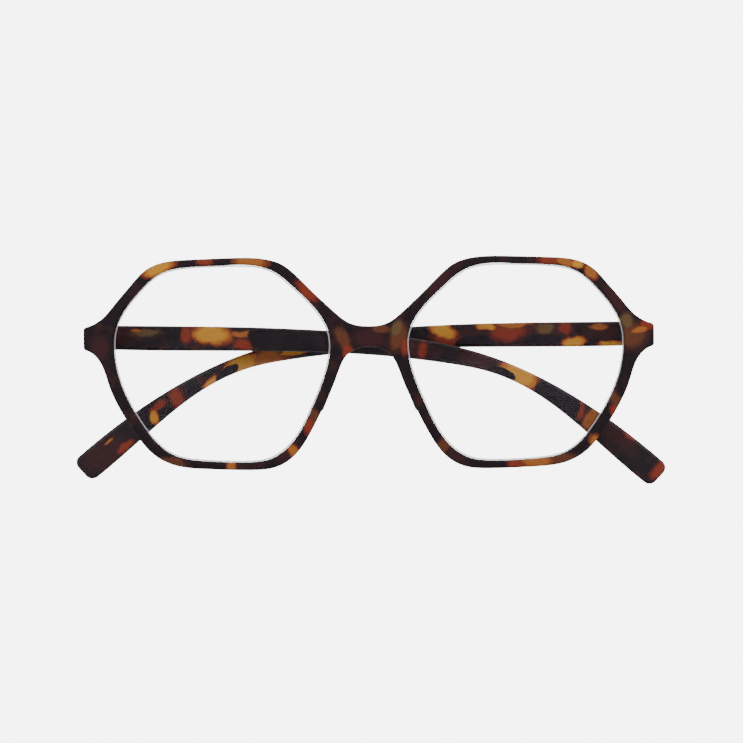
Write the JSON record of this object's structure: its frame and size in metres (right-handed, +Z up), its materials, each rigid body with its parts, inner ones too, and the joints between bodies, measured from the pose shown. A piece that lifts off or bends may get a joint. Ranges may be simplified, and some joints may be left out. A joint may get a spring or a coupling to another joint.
{
  "type": "folding reading glasses",
  "caption": "Folding reading glasses: moulded front with saddle bridge, clear lenses, and two side arms folded behind it on metal spring hinges.",
  "frame": {"origin": "middle of the bridge's lower edge (nose saddle), half way through the front's thickness, on the symmetry plane", "axes": "+X to the wearer's left along the front's width, +Y backwards from the front's face, +Z up as worn; both temples folded at rest"},
  "size_m": [0.146, 0.0254, 0.0561],
  "materials": {
    "frame_plastic": "satin tortoiseshell, dark brown with amber patches",
    "temple_plastic": "satin tortoiseshell, dark brown with amber patches",
    "lens": "clear polished, ground edge",
    "hinge_metal": "satin nickel silver",
    "case_steel": "satin",
    "screw_steel": "turned bright",
    "spring_steel": "drawn wire"
  },
  "bodies": {
    "front": {"front_frame": "frame_plastic", "right_lens": "lens", "left_lens": "lens", "right_front_hinge_leaf": "hinge_metal", "right_hinge_screw": "screw_steel", "left_front_hinge_leaf": "hinge_metal", "left_hinge_screw": "screw_steel"},
    "right_slider": {"right_hinge_slider": "hinge_metal", "right_guide_pin": "screw_steel"},
    "right_arm": {"right_temple": "temple_plastic", "right_spring_case": "case_steel", "right_flex_spring": "spring_steel"},
    "left_slider": {"left_hinge_slider": "hinge_metal", "left_guide_pin": "screw_steel"},
    "left_arm": {"left_temple": "temple_plastic", "left_spring_case": "case_steel", "left_flex_spring": "spring_steel"}
  },
  "joints": [
    {"name": "right_temple_fold", "type": "hinge", "parent": "front", "child": "right_slider", "pos_m": [-0.0649, 0.0135, 0.0029], "axis": [0, 0, 1], "range_deg": [0, 91.5]},
    {"name": "right_flex_slide", "type": "slide", "parent": "right_slider", "child": "right_arm", "axis": [0.9997, -0.0262, 0], "range_m": [0, 0.0012], "stiffness_N_per_m": 3000, "deforming": ["right_flex_spring"]},
    {"name": "left_temple_fold", "type": "hinge", "parent": "front", "child": "left_slider", "pos_m": [0.0649, 0.0135, 0.0029], "axis": [0, 0, -1], "range_deg": [0, 87.5]},
    {"name": "left_flex_slide", "type": "slide", "parent": "left_slider", "child": "left_arm", "axis": [-0.999, 0.0436, 0], "range_m": [0, 0.0012], "stiffness_N_per_m": 3000, "deforming": ["left_flex_spring"]}
  ]
}
